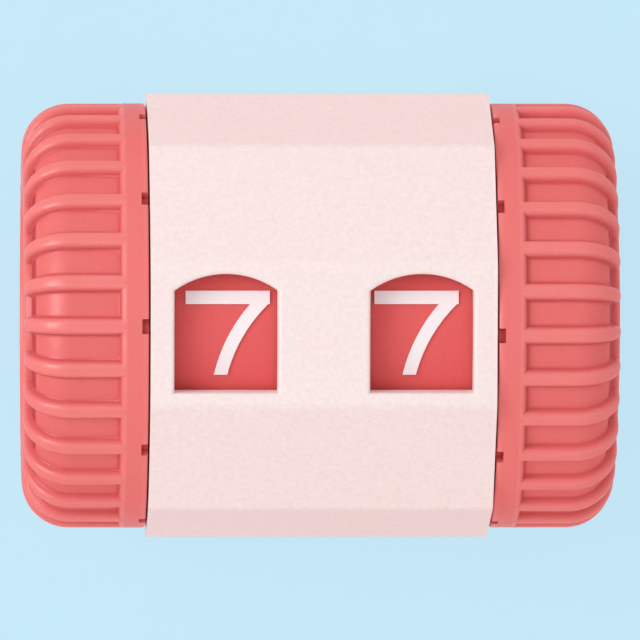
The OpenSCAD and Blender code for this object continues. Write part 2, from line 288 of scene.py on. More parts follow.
def _draw_scuff(tree: bpy.types.NodeTree) -> None:
    """Draw sparse hair-fine marks from handling, in two directions.

    Args:
        tree: The effect's node group.
    """
    tilt, hairlines = 0.3, (0.66, 0.74)
    directions = ((0.5, (1.0, 0.035, 0.035)), (2.2, (0.04, 1.0, 1.0)))
    sheet, given, result = _sockets(
        tree, {"Vector": "Vector", "Per Metre": "Float"}, {"Mask": "Float"}
    )
    marks = []
    for turn, stretch in directions:
        inputs = {"Vector": given["Vector"], "Rotation": (turn, tilt, turn), "Scale": stretch}
        turned = sheet.add("ShaderNodeMapping", inputs).outputs[0]
        marks.append(sheet.span(sheet.noise(turned, given["Per Metre"], detail=1.0), hairlines))
    sheet.feed(result, "Mask", sheet.maths("MAXIMUM", *marks))


@dataclass(frozen=True)
class Finish:
    """A procedural finish whose colour drifts slowly along the piece."""

    name: str
    colour: Colour
    drift: Colour

    def material(self) -> bpy.types.Material:
        """The finish as a node material, made the first time that it is asked for.

        Returns:
            The material.
        """
        made = bpy.data.materials.get(self.name)
        if made is None:
            made = bpy.data.materials.new(self.name)
            made.use_nodes = True
            sheet = NodeSheet(made.node_tree)
            place = sheet.add("ShaderNodeTexCoord").outputs["Object"]
            shader = sheet.add("ShaderNodeBsdfPrincipled", self._surface(sheet, place))
            sheet.add("ShaderNodeOutputMaterial", {"Surface": shader.outputs[0]})
        return made

    def _surface(self, sheet: NodeSheet, place: bpy.types.NodeSocket) -> Inputs:
        """The inputs of the shader, which each kind of finish draws in its own way."""
        raise NotImplementedError

    def _flow(
        self, sheet: NodeSheet, place: bpy.types.NodeSocket, per_metre: float
    ) -> bpy.types.NodeSocket:
        """The drifting colour."""
        inputs = {"Vector": place, "Colour": self.colour, "Drift": self.drift, "Per Metre": per_metre}
        return sheet.effect(Effect.FLOW, inputs)["Colour"]


@dataclass(frozen=True)
class MouldedPlastic(Finish):
    """Injection-moulded plastic with eroded grain, flow marks and fine scuffs, with edges lightened as
    wear and as a painted highlight, and painted shade in grooves and grain pits.
    """

    # Colour of edges and crests, partly wear and partly a painted highlight; colour of the painted
    # shade.
    rub_and_highlight: Colour
    shaded: Colour
    roughness: float = 0.42
    grain_per_metre: float = 5500.0
    grain_depth: float = 0.006 * MM
    grain_bump: float = 0.6
    grain_gloss: float = 0.1
    pit_shade_share: float = 0.1
    rub_highlight_share: float = 0.5
    rub_highlight_per_metre: float = 800.0
    rub_gloss: float = -0.08
    scuffs_per_metre: float = 1500.0
    scuff_gloss: float = 0.12
    scuff_height: float = -0.25
    flow_per_metre: float = 120.0
    shade_share: float = 0.5
    shine: float = 0.2
    ior: float = 1.5

    def _surface(self, sheet: NodeSheet, place: bpy.types.NodeSocket) -> Inputs:
        """Draw the plastic's colour, gloss and bump.

        Args:
            sheet: The material's nodes.
            place: Socket with the place on the piece.

        Returns:
            The inputs of the shader.
        """
        edge = sheet.add("ShaderNodeAttribute", attribute_name="edge").outputs["Fac"]
        recess = sheet.add("ShaderNodeAttribute", attribute_name="recess").outputs["Fac"]
        rub_inputs = {"Vector": place, "Edge": edge, "Per Metre": self.rub_highlight_per_metre}
        rub_highlight = sheet.effect(Effect.RUB, rub_inputs)["Mask"]
        grain = sheet.effect(Effect.GRAIN, {"Vector": place, "Per Metre": self.grain_per_metre})
        scuff_inputs = {"Vector": place, "Per Metre": self.scuffs_per_metre}
        scuff = sheet.effect(Effect.SCUFF, scuff_inputs)["Mask"]

        flow = self._flow(sheet, place, self.flow_per_metre)
        # Edges and crests lighten: partly wear, partly a painted highlight.
        worn_and_lit = sheet.mix(sheet.maths("MULTIPLY", rub_highlight, self.rub_highlight_share), flow, self.rub_and_highlight)
        # Painted shade: recesses by their mask, and the grain's pits as a random speckle.
        hollow_shade = sheet.maths("MULTIPLY", recess, self.shade_share)
        painted_shade_share = sheet.maths("MULTIPLY_ADD", grain["Tone"], self.pit_shade_share, hollow_shade, clamp=True)

        even = self.roughness - self.grain_gloss / 2
        gloss = sheet.maths("MULTIPLY_ADD", grain["Tone"], self.grain_gloss, even)
        gloss = sheet.maths("MULTIPLY_ADD", scuff, self.scuff_gloss, gloss)
        gloss = sheet.maths("MULTIPLY_ADD", rub_highlight, self.rub_gloss, gloss)
        height = sheet.maths("MULTIPLY_ADD", scuff, self.scuff_height, grain["Height"])
        bump_inputs = {"Strength": self.grain_bump, "Distance": self.grain_depth, "Height": height}
        return {
            "Base Color": sheet.mix(painted_shade_share, worn_and_lit, self.shaded),
            "Roughness": gloss,
            "Normal": sheet.add("ShaderNodeBump", bump_inputs).outputs[0],
            "IOR": self.ior,
            "Specular IOR Level": self.shine,
        }


@dataclass(frozen=True)
class SheetMetal(Finish):
    """Rolled metal with fine drawn lines, dulled in patches."""

    roughness: float = 0.3
    brighter: float = 0.08
    duller: float = 0.12
    lines_per_metre: float = 14000.0
    line_stretch: tuple[float, float, float] = (1.0, 1.0, 0.02)
    line_depth: float = 0.002 * MM
    line_bump: float = 0.4
    flow_per_metre: float = 700.0

    def _surface(self, sheet: NodeSheet, place: bpy.types.NodeSocket) -> Inputs:
        """Draw the metal's colour, gloss and bump.

        Args:
            sheet: The material's nodes.
            place: Socket with the place on the piece.

        Returns:
            The inputs of the shader.
        """
        drawn = sheet.add("ShaderNodeMapping", {"Vector": place, "Scale": self.line_stretch})
        lines = sheet.noise(drawn.outputs[0], self.lines_per_metre)
        gloss = (self.roughness - self.brighter, self.roughness + self.duller)
        bump_inputs = {"Strength": self.line_bump, "Distance": self.line_depth, "Height": lines}
        return {
            "Base Color": self._flow(sheet, place, self.flow_per_metre),
            "Roughness": sheet.span(lines, NOISE_SPAN, gloss),
            "Metallic": 1.0,
            "Normal": sheet.add("ShaderNodeBump", bump_inputs).outputs[0],
        }


# In each finish, the edge colour is partly wear and partly a painted highlight, and the shade colour is
# painted shade in recesses and grain pits.
CASING_PLASTIC = MouldedPlastic(
    "pale_pink_moulding",
    colour=linear(252, 237, 236),
    drift=linear(251, 234, 233),
    rub_and_highlight=linear(253, 240, 238),
    shaded=linear(240, 206, 202),
    roughness=0.46,
    grain_per_metre=4800.0,
    pit_shade_share=0.34,
    rub_highlight_share=0.45,
    shine=0.06,
)
KNOB_PLASTIC = MouldedPlastic(
    "coral_moulding",
    colour=linear(241, 125, 122),
    drift=linear(239, 121, 119),
    rub_and_highlight=linear(244, 135, 132),
    shaded=linear(194, 50, 58),
    roughness=0.4,
    pit_shade_share=0.06,
    rub_highlight_share=0.85,
    shade_share=1.0,
    shine=0.07,
)
DRUM_PLASTIC = MouldedPlastic(
    "red_moulding",
    colour=linear(234, 101, 100),
    drift=linear(232, 97, 97),
    rub_and_highlight=linear(240, 128, 124),
    shaded=linear(196, 62, 66),
    roughness=0.48,
    shine=0.1,
)
NUMERAL_PRINT = MouldedPlastic(
    "white_print",
    colour=linear(254, 247, 248),
    drift=linear(250, 241, 243),
    rub_and_highlight=linear(255, 255, 255),
    shaded=linear(240, 220, 222),
    roughness=0.5,
)
INNER_PLASTIC = MouldedPlastic(
    "cream_moulding",
    colour=linear(244, 236, 224),
    drift=linear(238, 228, 214),
    rub_and_highlight=linear(250, 246, 240),
    shaded=linear(226, 214, 198),
    roughness=0.5,
)
WASHER_PLASTIC = MouldedPlastic(
    "slick_washer_moulding",
    colour=linear(238, 237, 233),
    drift=linear(230, 229, 224),
    rub_and_highlight=linear(248, 248, 246),
    shaded=linear(214, 213, 208),
    roughness=0.55,
)
SPRING_STEEL = SheetMetal(
    "rolled_steel",
    colour=linear(196, 198, 202),
    drift=linear(176, 178, 182),
)
RIVET_BRASS = SheetMetal(
    "drawn_brass",
    colour=linear(222, 190, 118),
    drift=linear(198, 162, 92),
    roughness=0.34,
)


class Piece:
    """A mesh in the making, with the two masks that the finishes read."""

    def __init__(self) -> None:
        """Start an empty mesh with its mask layers."""
        self.bm = bmesh.new()
        # edge: wear and painted highlight on rounded edges; recess: painted shade in grooves, roots and
        # notches.
        self.edge = self.bm.verts.layers.float.new("edge")
        self.recess = self.bm.verts.layers.float.new("recess")
        self.rounded = self.bm.faces.layers.int.new("rounded")

    def round_over(
        self, edges: Iterable[bmesh.types.BMEdge], width: float, steps: int
    ) -> list[bmesh.types.BMFace]:
        """Round edges over.

        Args:
            edges: Edges to round.
            width: Distance from the edge to where the rounding starts, in millimetres.
            steps: Faces across the rounding.

        Returns:
            The faces of the rounding.
        """
        made = bmesh.ops.bevel(
            self.bm,
            geom=list(edges),
            offset=width * MM,
            offset_type="OFFSET",
            affect="EDGES",
            segments=steps,
            profile=0.5,
            material=-1,
            clamp_overlap=True,
        )
        return made["faces"]

    def soften(self, edges: Iterable[bmesh.types.BMEdge], width: float, steps: int) -> None:
        """Round edges over and mark the new faces for edge wear and a painted highlight.

        Args:
            edges: Edges to round.
            width: Distance from the edge to where the rounding starts, in millimetres.
            steps: Faces across the rounding.
        """
        for face in self.round_over(edges, width, steps):
            face[self.rounded] = 1
            for vert in face.verts:
                vert[self.edge] = 1.0

    def settle_rub_highlight(self) -> None:
        """Keep the wear and painted highlight mask on rounded edges, so that it fades across the faces
        beside them.
        """
        for vert in self.bm.verts:
            vert[self.edge] = float(any(face[self.rounded] for face in vert.link_faces))

    def close(self) -> None:
        """Merge doubled vertices and turn every face outwards."""
        bmesh.ops.remove_doubles(self.bm, verts=self.bm.verts[:], dist=MERGE)
        bmesh.ops.recalc_face_normals(self.bm, faces=self.bm.faces[:])

    def finish(
        self, name: str, body: str, finish: Finish, node: str, slot: str, crease: float = 38.0
    ) -> bpy.types.Object:
        """Make the object, dress it, attach it to its body and hide the solid that it stands for.

        Args:
            name: Name of the piece.
            body: Body that it rides on.
            finish: Its finish.
            node: Solid that it stands for.
            slot: Material slot of the record; not used.
            crease: Angle in degrees past which an edge stays sharp.

        Returns:
            The new object.
        """
        for face in self.bm.faces:
            face.smooth = True
        for edge in self.bm.edges:
            edge.smooth = edge.calc_face_angle(0.0) < math.radians(crease)
        mesh = bpy.data.meshes.new(name)
        self.bm.to_mesh(mesh)
        self.bm.free()
        piece = bpy.data.objects.new(name, mesh)
        bpy.context.scene.collection.objects.link(piece)
        mesh.materials.append(finish.material())
        even = piece.modifiers.new("even_normals", "WEIGHTED_NORMAL")
        even.keep_sharp = True
        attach(piece, body)
        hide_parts(node)
        return piece


class Turning(Piece):
    """A piece of revolution about the bore, drawn as a closed half section in millimetres."""

    def __init__(self) -> None:
        """Start an empty half section."""
        super().__init__()
        self.zone = self.bm.verts.layers.int.new("zone")
        self.first: bmesh.types.BMVert | None = None
        self.last: bmesh.types.BMVert | None = None

    def to(self, along: float, out: float, zone: Zone = Zone.PLAIN) -> "Turning":
        """Draw a straight line to a new corner.

        Args:
            along: Place along the bore.
            out: Distance from the bore's axis.
            zone: Stretch of the outline that the corner lies on.

        Returns:
            This section, so that lines can follow each other.
        """
        vert = self.bm.verts.new((along * MM, 0, out * MM))
        vert[self.zone] = zone.value
        if self.last is None:
            self.first = vert
        else:
            self.bm.edges.new((self.last, vert))
        self.last = vert
        return self

    def round_to(
        self, along: float, out: float, angle: float, steps: int, zone: Zone = Zone.PLAIN
    ) -> "Turning":
        """Draw an arc from the last corner.

        Args:
            along: Centre of the arc, along the bore.
            out: Centre of the arc, from the bore's axis.
            angle: Angle of the arc, positive from the outside towards the right-hand end.
            steps: Straight steps in the arc.
            zone: Stretch of the outline that the arc lies on.

        Returns:
            This section.
        """
        self.last[self.zone] = zone.value
        spun = bmesh.ops.spin(
            self.bm,
            geom=[self.last],
            cent=(along * MM, 0, out * MM),
            axis=(0, 1, 0),
            angle=angle,
            steps=steps,
            use_merge=False,
            use_duplicate=False,
        )
        self.last = next(item for item in spun["geom_last"] if isinstance(item, bmesh.types.BMVert))
        return self

    def turn(self, steps: int) -> None:
        """Close the section and spin it once round the bore.

        Args:
            steps: Steps in the full turn.
        """
        self.bm.edges.new((self.last, self.first))
        bmesh.ops.spin(
            self.bm,
            geom=self.bm.verts[:] + self.bm.edges[:],
            cent=(0, 0, 0),
            axis=(1, 0, 0),
            angle=math.tau,
            steps=steps,
            use_merge=True,
            use_duplicate=False,
        )
        self.close()

    def rings(self, *corners: tuple[float, float]) -> list[bmesh.types.BMEdge]:
        """Edges of the rings that given corners of the section were spun into.

        Args:
            corners: Corners as place along the bore and distance from its axis.

        Returns:
            The edges.
        """
        places = [Vector(corner) * MM for corner in corners]

        def on_ring(vert: bmesh.types.BMVert) -> bool:
            """Whether a vertex lies on one of the rings."""
            at = Vector((vert.co.x, math.hypot(vert.co.y, vert.co.z)))
            return any((at - place).length < RING_SLACK for place in places)

        def runs_round(edge: bmesh.types.BMEdge) -> bool:
            """Whether an edge runs round the bore and not along it."""
            return abs(edge.verts[0].co.x - edge.verts[1].co.x) < NEAR

        edges = (edge for edge in self.bm.edges if runs_round(edge))
        return [edge for edge in edges if all(on_ring(vert) for vert in edge.verts)]

    def in_zone(self, face: bmesh.types.BMFace, zone: Zone) -> bool:
        """Whether all corners of a face lie on one stretch of the outline."""
        return all(vert[self.zone] == zone.value for vert in face.verts)

    def face_the_side(self, side: Side, twist: float = 0.0) -> None:
        """Mirror the piece for the left-hand end, and turn it about the bore.

        Args:
            side: End that the piece belongs to.
            twist: Turn about the bore in degrees.
        """
        if side is Side.LEFT:
            bmesh.ops.scale(self.bm, vec=(-1, 1, 1), verts=self.bm.verts[:])
            bmesh.ops.reverse_faces(self.bm, faces=self.bm.faces[:])
        turned = Matrix.Rotation(math.radians(twist), 3, "X")
        bmesh.ops.rotate(self.bm, cent=(0, 0, 0), matrix=turned, verts=self.bm.verts[:])


def bearing(face: bmesh.types.BMFace) -> float:
    """Angle of a face about the bore in degrees, from the windows towards the numerals' foot."""
    middle = face.calc_center_median()
    return math.degrees(math.atan2(-middle.y, middle.z)) % CIRCLE


def corners_of(items: Iterable[object]) -> list[bmesh.types.BMVert]:
    """The vertices among mixed parts of a mesh."""
    return [item for item in items if isinstance(item, bmesh.types.BMVert)]


@dataclass
class Casing:
    """The ten-sided sleeve with two arched windows. Sizes are in millimetres, turns in degrees."""

    sides: int = 10
    flats: float = 19.15
    length: float = 15.4
    wall: float = 1.1
    edge_width: float = 0.19
    edge_steps: int = 4
    end_width: float = 0.09
    end_steps: int = 3
    window_width: float = 4.6
    window_height: float = 5.3
    window_rise: float = 0.75
    window_middle: float = 4.35
    window_shift: float = 0.1
    window_reach: float = 3.05
    window_floor: float = 7.0
    window_slack: float = 0.01
    rim_width: float = 0.24
    rim_steps: int = 4
    rub_highlight_reach: float = 0.14
    columns: int = 16
    bore_steps: int = 60
    bore_turn: float = -1.4
    row_digits: int = 6
    crease: float = 50.0
    piece: Piece = field(default_factory=Piece, init=False)

    def __post_init__(self) -> None:
        """Add the layer that tells the two skins apart."""
        self.skin = self.piece.bm.faces.layers.int.new("skin")

    @property
    def apothem(self) -> float:
        """Distance from the bore's axis to a flat."""
        return self.flats / 2

    @property
    def mid_wall(self) -> float:
        """Distance from the bore's axis to half-way between the two skins, at a flat's middle."""
        return self.apothem - self.wall / 2

    @property
    def sill(self) -> float:
        """Height of the windows' bottom edge."""
        return self.window_shift - self.window_height / 2

    @property
    def margin(self) -> float:
        """Distance from a window's side to where the wear and painted highlight of its rim end."""
        return self.rim_width + self.rub_highlight_reach

    def build(self) -> list[bpy.types.Object]:
        """Model the sleeve and dress it.

        Returns:
            The finished piece.
        """
        bm = self.piece.bm
        corner = self.apothem / math.cos(math.pi / self.sides)
        self._tube(corner, self.sides, CIRCLE / self.sides / 2, Skin.OUTSIDE)
        corners = [edge for edge in bm.edges if len(edge.link_faces) == 2]
        self.piece.soften(corners, self.edge_width, self.edge_steps)
        for face in bm.faces:
            face[self.skin] = Skin.OUTSIDE.value
        self._tube(self.apothem - self.wall, self.bore_steps, self.bore_turn, Skin.BORE)
        for side in Side:
            middle = side.value * self.window_middle
            for skin in Skin:
                self._open_window(middle, skin)
            self._line_window(middle)
        self._line_flats()
        for side in Side:
            end = side.value * self.length / 2 * MM
            at_end = [vert for vert in bm.verts if abs(vert.co.x - end) < NEAR]
            ring = {edge for vert in at_end for edge in vert.link_edges}
            loops = [edge for edge in ring if all(abs(vert.co.x - end) < NEAR for vert in edge.verts)]
            bmesh.ops.triangle_fill(bm, use_beauty=True, use_dissolve=False, edges=loops)
        self.piece.close()
        self._soften_rims()
        bmesh.ops.dissolve_degenerate(bm, dist=MERGE, edges=bm.edges[:])
        self.piece.settle_rub_highlight()
        return [
            self.piece.finish(
                "casing_shell", "casing", CASING_PLASTIC, "casing_sleeve", "casing_plastic", self.crease
            )
        ]

    def _tube(self, radius: float, steps: int, turn: float, skin: Skin) -> None:
        """Add an open tube along the bore.

        Args:
            radius: Radius of its corners.
            steps: Number of its sides.
            turn: Turn about the bore, so that a flat or a corner faces the windows.
            skin: Skin that its faces belong to.
        """
        bm = self.piece.bm
        old = set(bm.faces)
        upright = Matrix.Rotation(QUARTER_TURN, 4, "Y") @ Matrix.Rotation(math.radians(turn), 4, "Z")
        bmesh.ops.create_cone(
            bm,
            cap_ends=False,
            segments=steps,
            radius1=radius * MM,
            radius2=radius * MM,
            depth=self.length * MM,
            matrix=upright @ Matrix.Rotation(QUARTER_TURN, 4, "Z"),
        )
        for face in set(bm.faces) - old:
            face[self.skin] = skin.value

    def _cut(
        self, faces: list[bmesh.types.BMFace], point: Sequence[float], normal: Sequence[float]
    ) -> None:
        """Cut faces along a plane.

        Args:
            faces: Faces to cut.
            point: A point of the plane.
            normal: Direction square to the plane.
        """
        edges = {edge for face in faces for edge in face.edges}
        verts = {vert for face in faces for vert in face.verts}
        bmesh.ops.bisect_plane(
            self.piece.bm,
            geom=[*verts, *edges, *faces],
            dist=MERGE,
            plane_co=[part * MM for part in point],
            plane_no=normal,
        )

    def _outside(self) -> list[bmesh.types.BMFace]:
        """Faces of the outer skin."""
        return [face for face in self.piece.bm.faces if face[self.skin] == Skin.OUTSIDE.value]

    def _clear_of_windows(self, face: bmesh.types.BMFace) -> bool:
        """Whether a face lies to one side of both windows, or on another flat."""
        away = abs(abs(face.calc_center_median().x) - self.window_middle * MM)
        return away > (self.window_width / 2 + self.margin) * MM or face.normal.z < FACING

    def _line_flats(self) -> None:
        """Cut lines a little way in from the edges of every flat, where the wear and painted highlight
        end.
        """
        self.piece.bm.normal_update()
        half_flat = self.apothem * math.tan(math.pi / self.sides) - self.edge_width - self.rub_highlight_reach
        half_length = self.length / 2 - self.end_width - self.rub_highlight_reach
        for turn in range(self.sides):
            about = Matrix.Rotation(math.tau * turn / self.sides, 3, "X")
            out, across = about @ Vector((0, 0, 1)), about @ Vector((0, 1, 0))
            for way in (-1, 1):
                flat = [face for face in self._outside() if face.normal.dot(out) > FACING]
                clear = [face for face in flat if self._clear_of_windows(face)]
                self._cut(clear, self.apothem * out + way * half_flat * across, across)
        for side in Side:
            self._cut(self._outside(), (side.value * half_length, 0, 0), (1, 0, 0))

    def _over(self, co: Vector, middle: float) -> bool:
        """Whether a point lies over one window."""
        beside = abs(co.x - middle * MM) < (self.window_width / 2 + self.window_slack) * MM
        return co.z > 0 and beside and abs(co.y) < self.window_reach * MM

    def _arch(self, across: float) -> float:
        """Height of a window's top edge.

        Args:
            across: Distance from the window's middle line.

        Returns:
            The height.
        """
        half = self.window_width / 2
        radius = (half * half + self.window_rise * self.window_rise) / 2 / self.window_rise
        crown = self.window_shift + self.window_height / 2
        return crown - radius + math.sqrt(radius * radius - across * across)

    def _line_window(self, middle: float) -> None:
        """Join the rims of one window in both skins by upright walls.

        Args:
            middle: Middle of the window along the bore.
        """
        bm = self.piece.bm
        half_way = self.mid_wall * MM
        open_edges = (edge for edge in bm.edges if edge.is_boundary)
        rim = [edge for edge in open_edges if self._over(edge.verts[0].co, middle)]
        outer = [edge for edge in rim if all(vert.co.z > half_way for vert in edge.verts)]
        inner = {vert for edge in rim for vert in edge.verts if vert.co.z < half_way}
        for vert in corners_of(bmesh.ops.extrude_edge_only(bm, edges=outer)["geom"]):
            vert.co = min(inner, key=lambda foot: (foot.co.xy - vert.co.xy).length).co
        bmesh.ops.remove_doubles(bm, verts=bm.verts[:], dist=MERGE)

    def _under(self, skin: Skin, low: float, high: float) -> list[bmesh.types.BMFace]:
        """Faces of a skin on the windows' side, between two places along the bore.

        Args:
            skin: The skin.
            low: Left-hand place.
            high: Right-hand place.

        Returns:
            The faces.
        """

        def between(face: bmesh.types.BMFace) -> bool:
            """Whether a face lies on the windows' side, between the two places."""
            at = face.calc_center_median() / MM
            return at.z > self.window_floor and abs(at.y) < self.window_reach and low < at.x < high

        faces = (face for face in self.piece.bm.faces if face[self.skin] == skin.value)
        return [face for face in faces if between(face)]

    def _open_window(self, middle: float, skin: Skin) -> None:
        """Cut one window out of one skin.

        Args:
            middle: Middle of the window along the bore.
            skin: Skin to cut.
        """
        half = self.window_width / 2
        column = self.window_width / self.columns
        stops = [middle - half + column * step for step in range(self.columns + 1)]
        left, right = stops[0], stops[-1]
        springing = self._arch(half)

        def in_window(face: bmesh.types.BMFace) -> bool:
            """Whether a face lies between the window's sill and its arch."""
            at = face.calc_center_median() / MM
            return self.sill < at.y < self._arch(at.x - middle)

        for stop in [left - self.margin, *stops, right + self.margin]:
            self._cut(self._under(skin, -self.length, self.length), (stop, 0, 0), (1, 0, 0))
        for row in [self.sill, *(row for row in self._bore_rows() if self.sill < row < springing)]:
            self._cut(self._under(skin, left, right), (0, row, 0), (0, 1, 0))
        for low, high in zip(stops, stops[1:]):
            start, end = self._arch(low - middle), self._arch(high - middle)
            self._cut(self._under(skin, low, high), (low, start, 0), (start - end, high - low, 0))
        inside = [face for face in self._under(skin, left, right) if in_window(face)]
        bmesh.ops.delete(self.piece.bm, geom=inside, context="FACES")

    def _bore_rows(self) -> list[float]:
        """Heights of the bore's own long edges near the windows.

        Returns:
            The heights, from low to high.
        """
        faces = (face for face in self.piece.bm.faces if face[self.skin] == Skin.BORE.value)
        places = [vert.co for face in faces for vert in face.verts]
        ends = [co / MM for co in places if abs(abs(co.x) - self.length / 2 * MM) < NEAR]
        near = (at.y for at in ends if at.z > 0 and abs(at.y) < self.window_reach)
        return sorted({round(height, self.row_digits) for height in near})

    def _soften_rims(self) -> None:
        """Round the windows' rims and the ends of the sleeve."""
        rims, ends = [], []
        for edge in self.piece.bm.edges:
            if len(edge.link_faces) != 2:
                continue
            first, second = (face.normal for face in edge.link_faces)
            places = [vert.co for vert in edge.verts]
            at_end = all(abs(abs(co.x) - self.length / 2 * MM) < NEAR for co in places)
            on_flat = all(abs(co.z - self.apothem * MM) < NEAR for co in places)
            outer = math.hypot(places[0].y, places[0].z) > self.mid_wall * MM
            if at_end and outer and abs(abs(first.x) - abs(second.x)) > CORNER:
                ends.append(edge)
            elif on_flat and not at_end and abs(first.z - second.z) > CORNER:
                rims.append(edge)
        self.piece.soften(rims, self.rim_width, self.rim_steps)
        ends = [edge for edge in ends if edge.is_valid]
        self.piece.soften(ends, self.end_width, self.end_steps)


@dataclass
class Dial:
    """A ribbed knob with its number drum and numerals. Sizes are in millimetres, turns in degrees."""

    side: Side
    twist: float = 0.0
    start: float = 7.775
    end: float = 13.3
    radius: float = 9.555
    corner: float = 2.1
    corner_steps: int = 14
    band: float = 1.2
    groove_depth: float = 0.4
    groove_draft: float = 0.07
    crest_width: float = 0.2
    crest_steps: int = 3
    crest_wear_highlight: float = 0.8
    root_width: float = 0.09
    root_steps: int = 2
    root_shade: float = 0.54
    floor_shade: float = 0.11
    shade_width: float = 0.16
    end_shade: float = 0.95
    end_reach: float = 0.56
    line_width: float = 0.27
    lip_width: float = 0.1
    lip_steps: int = 3
    notch_count: int = 10
    notch_steps: int = 2
    notch_reach: float = 0.3
    notch_depth: float = 0.45
    boss: float = 7.055
    recess_radius: float = 5.9
    recess_floor: float = 12.25
    recess_edge: float = 0.12
    bore: float = 4.35
    hub: float = 5.55
    socket: float = 7.645
    socket_end: float = 11.2
    rib_count: int = 30
    rib_steps: int = 2
    steps: int = 180
    crease: float = 50.0
    drum_start: float = 1.2
    drum_radius: float = 8.175
    drum_bore: float = 6.975
    drum_edge: float = 0.12
    spigot: float = 7.625
    spigot_end: float = 11.0
    edge_steps: int = 3
    rub_highlight_reach: float = 0.35

    def build(self) -> list[bpy.types.Object]:
        """Model the knob, drum and numerals and dress them.

        Returns:
            The finished pieces.
        """
        return [self._knob(), self._drum(), self._numerals()]

    @property
    def _body(self) -> str:
        """The body that the dial's pieces ride on."""
        return f"{self.side.word}_dial"

    def _knob(self) -> bpy.types.Object:
        """Turn the knob, sink its grooves and notches, and soften its edges.

        Returns:
            The finished piece.
        """
        knob = Turning()
        bend = self.end - self.corner
        flat = self.radius - self.corner
        knob.to(self.start, self.radius - self.notch_depth, Zone.NOTCH)
        knob.to(self.start, self.radius, Zone.NOTCH)
        knob.to(self.start + self.notch_reach, self.radius, Zone.NOTCH)
        knob.to(self.start + self.band - self.line_width, self.radius)
        knob.to(self.start + self.band, self.radius, Zone.GROOVE)
        knob.to(bend, self.radius, Zone.GROOVE)
        knob.round_to(bend, flat, QUARTER_TURN, self.corner_steps, Zone.GROOVE)
        knob.to(self.end, self.boss, Zone.GROOVE)
        knob.to(self.end, self.recess_radius + self.rub_highlight_reach)
        knob.to(self.end, self.recess_radius).to(self.recess_floor, self.recess_radius)
        knob.to(self.recess_floor, self.bore).to(self.start, self.bore)
        knob.to(self.start, self.hub).to(self.socket_end, self.hub)
        knob.to(self.socket_end, self.socket).to(self.start, self.socket)
        knob.turn(self.steps)
        recess = knob.rings((self.end, self.recess_radius))
        knob.soften(recess, self.recess_edge, self.edge_steps)
        self._sink_notches(knob)
        knob.soften(knob.rings((self.start, self.radius)), self.lip_width, self.lip_steps)
        self._sink_grooves(knob)
        knob.face_the_side(self.side, self.twist)
        name, node = f"{self.side.word}_ribbed_knob", f"{self.side.word}_knob"
        return knob.finish(name, self._body, KNOB_PLASTIC, node, "knob_plastic", self.crease)

    def _sink_notches(self, knob: Turning) -> None:
        """Cut the index notches out of the edge of the band and paint shade into them.

        Args:
            knob: The turned knob.
        """
        bm = knob.bm
        pitch = CIRCLE / self.notch_count
        width = self.notch_steps * CIRCLE / self.steps
        share = (self.radius - self.notch_depth) / self.radius

        def at_notch(face: bmesh.types.BMFace) -> bool:
            """Whether a face lies where a notch goes."""
            return knob.in_zone(face, Zone.NOTCH) and (bearing(face) + width / 2) % pitch < width

        notched = [face for face in bm.faces if at_notch(face)]
        floor = [face for face in notched if abs(face.normal.x) < CORNER]
        front = [face for face in notched if abs(face.normal.x) > CORNER]
        moved = corners_of(bmesh.ops.extrude_face_region(bm, geom=floor)["geom"])
        for vert in moved:
            vert.co.y *= share
            vert.co.z *= share
            # Painted shade in the notch.
            vert[knob.recess] = self.root_shade
        walls = [
            face
            for vert in moved
            for face in vert.link_faces
            if all(abs(corner.co.x - self.start * MM) < NEAR for corner in face.verts)
        ]
        bmesh.ops.delete(bm, geom=list({*floor, *front, *walls}), context="FACES")
        knob.close()

    def _sink_grooves(self, knob: Turning) -> None:
        """Press the grooves between the ribs into the knob, round their edges, and paint shade into the
        grooves and wear and a highlight onto the crests.

        Args:
            knob: The turned knob.
        """
        bm = knob.bm
        pitch = CIRCLE / self.rib_count
        rib = self.rib_steps * CIRCLE / self.steps

        def between_ribs(face: bmesh.types.BMFace) -> bool:
            """Whether a face lies between two ribs."""
            return knob.in_zone(face, Zone.GROOVE) and (bearing(face) + rib / 2) % pitch > rib

        floors = [face for face in bm.faces if between_ribs(face)]
        crest = self._outline(floors)
        self._step_in(knob, floors, self.groove_draft, -self.groove_depth)
        root = self._outline(floors)
        # Rib crests lighten: partly wear, partly a painted highlight.
        for vert in bm.verts:
            if vert[knob.zone] == Zone.GROOVE.value:
                vert[knob.edge] = self.crest_wear_highlight
        # Painted shade on the groove walls and roots.
        for vert in {vert for face in floors for vert in face.verts}:
            vert[knob.edge] = 0.0
            vert[knob.recess] = self.root_shade
        self._step_in(knob, floors, self.shade_width)
        # Painted shade on the floors, strongest at the groove ends.
        for vert in {vert for face in floors for vert in face.verts}:
            at_end = vert.co.x > (self.end - self.end_reach) * MM
            vert[knob.recess] = self.end_shade if at_end else self.floor_shade
        knob.soften(crest, self.crest_width, self.crest_steps)
        root = [edge for edge in root if edge.is_valid]
        knob.round_over(root, self.root_width, self.root_steps)

    @staticmethod
    def _step_in(
        knob: Turning, faces: list[bmesh.types.BMFace], width: float, depth: float = 0.0
    ) -> None:
        """Inset each patch of faces from its outline.

        Args:
            knob: The turned knob.
            faces: Faces of the patches.
            width: Distance in from the outline.
            depth: Distance out from the surface.
        """
        bmesh.ops.inset_region(
            knob.bm,
            faces=faces,
            use_boundary=True,
            use_even_offset=True,
            thickness=width * MM,
            depth=depth * MM,
        )

    @staticmethod
    def _outline(faces: list[bmesh.types.BMFace]) -> list[bmesh.types.BMEdge]:
        """Edges round the outside of a set of faces.

        Args:
            faces: The faces.

        Returns:
            The edges.
        """
        inside = set(faces)
        edges = {edge for face in faces for edge in face.edges}
        return [edge for edge in edges if any(face not in inside for face in edge.link_faces)]

